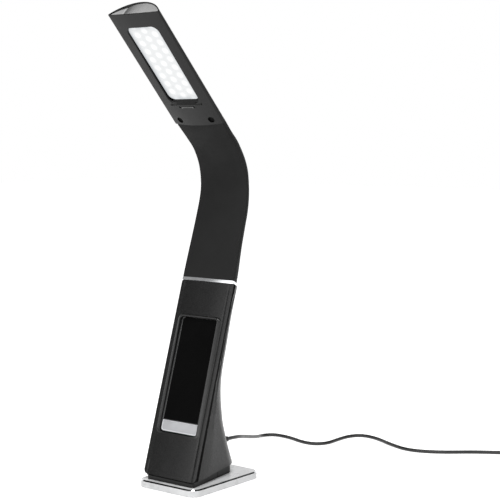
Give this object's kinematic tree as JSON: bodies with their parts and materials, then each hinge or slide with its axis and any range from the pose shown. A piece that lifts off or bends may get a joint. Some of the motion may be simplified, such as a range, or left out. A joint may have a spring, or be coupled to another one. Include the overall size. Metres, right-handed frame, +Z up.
{
  "type": "desk lamp",
  "caption": "Slim desk lamp: leather-wrapped column with a display and touch bar, bending flat neck, flat LED head, plate base and low-voltage lead.",
  "frame": {"origin": "centre of the underside, on the face of the anti-slip pad", "axes": "X is the width, -Y is the front with the display and the light, +Y is the back with the lead, +Z is up"},
  "size_m": [0.2761, 0.4476, 0.4357],
  "materials": {
    "plate_paint": "satin silver paint on a steel plate",
    "pad_rubber": "matt, fine cells",
    "screw_steel": "machined",
    "collar_plastic": "satin black",
    "column_leather": "black grained leather with stitching",
    "frame_plastic": "moulded",
    "display_black": "clear gloss over black",
    "bar_plastic": "pale translucent, softly lit",
    "foil_copper": "thin foil",
    "circuit_board": "solder mask",
    "bright_steel": "plated",
    "key_plastic": "moulded",
    "ring_chrome": "polished",
    "gooseneck_steel": "wound steel",
    "former_foam": "dense foam rib",
    "neck_rubber": "smooth satin",
    "head_plastic": "dark, satin gloss",
    "diffuser_white": "opal, lit from behind",
    "light_box_white": "moulded",
    "led_board_aluminium": "white coated",
    "led_yellow": "phosphor",
    "insert_aluminium": "brushed",
    "lead_rubber": "smooth black"
  },
  "bodies": {
    "root": {"base_plate": "plate_paint", "anti_slip_pad": "pad_rubber", "column_screws": "screw_steel", "key_domes": "screw_steel", "base_collar": "collar_plastic", "rear_leather": "column_leather", "front_leather": "column_leather", "window_rim": "column_leather", "column_frame": "frame_plastic", "front_panel": "frame_plastic", "key_guide": "frame_plastic", "key_brackets": "frame_plastic", "cell_holder": "frame_plastic", "power_jack": "frame_plastic", "neck_lower_clamp": "frame_plastic", "display_window": "display_black", "lcd_module": "display_black", "touch_bar": "bar_plastic", "touch_foil": "foil_copper", "main_board": "circuit_board", "key_board": "circuit_board", "coin_cell": "bright_steel", "plug_shell": "bright_steel", "trim_ring": "ring_chrome", "gooseneck_0": "gooseneck_steel", "neck_sleeve": "neck_rubber", "plug_tongue": "light_box_white", "lead_connector": "lead_rubber", "power_lead": "lead_rubber", "lead_coil": "lead_rubber", "lead_tail": "lead_rubber", "plug_grip": "lead_rubber"},
    "neck_1": {"gooseneck_1": "gooseneck_steel", "neck_former_1": "former_foam"},
    "neck_2": {"gooseneck_2": "gooseneck_steel", "neck_former_2": "former_foam"},
    "neck_3": {"gooseneck_3": "gooseneck_steel", "neck_former_3": "former_foam"},
    "neck_4": {"gooseneck_4": "gooseneck_steel", "neck_former_4": "former_foam"},
    "neck_5": {"gooseneck_5": "gooseneck_steel", "neck_former_5": "former_foam"},
    "head": {"gooseneck_6": "gooseneck_steel", "neck_upper_clamp": "frame_plastic", "head_front_cover": "head_plastic", "head_rear_cover": "head_plastic", "light_diffuser": "diffuser_white", "light_box": "light_box_white", "led_board": "led_board_aluminium", "heat_spreader": "led_board_aluminium", "leds": "led_yellow", "head_screws": "screw_steel", "end_cap": "head_plastic", "end_cap_insert": "insert_aluminium"},
    "down_key": {"down_key": "key_plastic"},
    "up_key": {"up_key": "key_plastic"},
    "mode_key": {"mode_key": "key_plastic"}
  },
  "joints": [
    {"name": "neck_bend_1", "type": "hinge", "parent": "root", "child": "neck_1", "pos_m": [0, 0.02548, 0.20852], "axis": [1, 0, 0], "range_deg": [-12, 18], "deforming": ["neck_sleeve"]},
    {"name": "neck_bend_2", "type": "hinge", "parent": "neck_1", "child": "neck_2", "pos_m": [0, 0.03256, 0.23083], "axis": [1, 0, 0], "range_deg": [-12, 18], "deforming": ["neck_sleeve"]},
    {"name": "neck_bend_3", "type": "hinge", "parent": "neck_2", "child": "neck_3", "pos_m": [0, 0.03912, 0.25395], "axis": [1, 0, 0], "range_deg": [-12, 18], "deforming": ["neck_sleeve"]},
    {"name": "neck_bend_4", "type": "hinge", "parent": "neck_3", "child": "neck_4", "pos_m": [0, 0.0409, 0.27851], "axis": [1, 0, 0], "range_deg": [-18, 8], "deforming": ["neck_sleeve"]},
    {"name": "neck_bend_5", "type": "hinge", "parent": "neck_4", "child": "neck_5", "pos_m": [0, 0.03645, 0.30318], "axis": [1, 0, 0], "range_deg": [-18, 8], "deforming": ["neck_sleeve"]},
    {"name": "neck_bend_6", "type": "hinge", "parent": "neck_5", "child": "head", "pos_m": [0, 0.02221, 0.32415], "axis": [1, 0, 0], "range_deg": [-18, 8], "deforming": ["neck_sleeve"]},
    {"name": "down_key_press", "type": "slide", "parent": "root", "child": "down_key", "axis": [0, -1, 0], "range_m": [0, 0.0008], "stiffness_N_per_m": 60, "springref_m": -0.003},
    {"name": "up_key_press", "type": "slide", "parent": "root", "child": "up_key", "axis": [0, -1, 0], "range_m": [0, 0.0008], "stiffness_N_per_m": 60, "springref_m": -0.003},
    {"name": "mode_key_press", "type": "slide", "parent": "root", "child": "mode_key", "axis": [0, -1, 0], "range_m": [0, 0.0008], "stiffness_N_per_m": 60, "springref_m": -0.003}
  ],
  "couplings": [
    {"joint": "neck_bend_2", "follows": "neck_bend_1", "ratio": 1},
    {"joint": "neck_bend_3", "follows": "neck_bend_1", "ratio": 1},
    {"joint": "neck_bend_5", "follows": "neck_bend_4", "ratio": 1},
    {"joint": "neck_bend_6", "follows": "neck_bend_4", "ratio": 1}
  ]
}
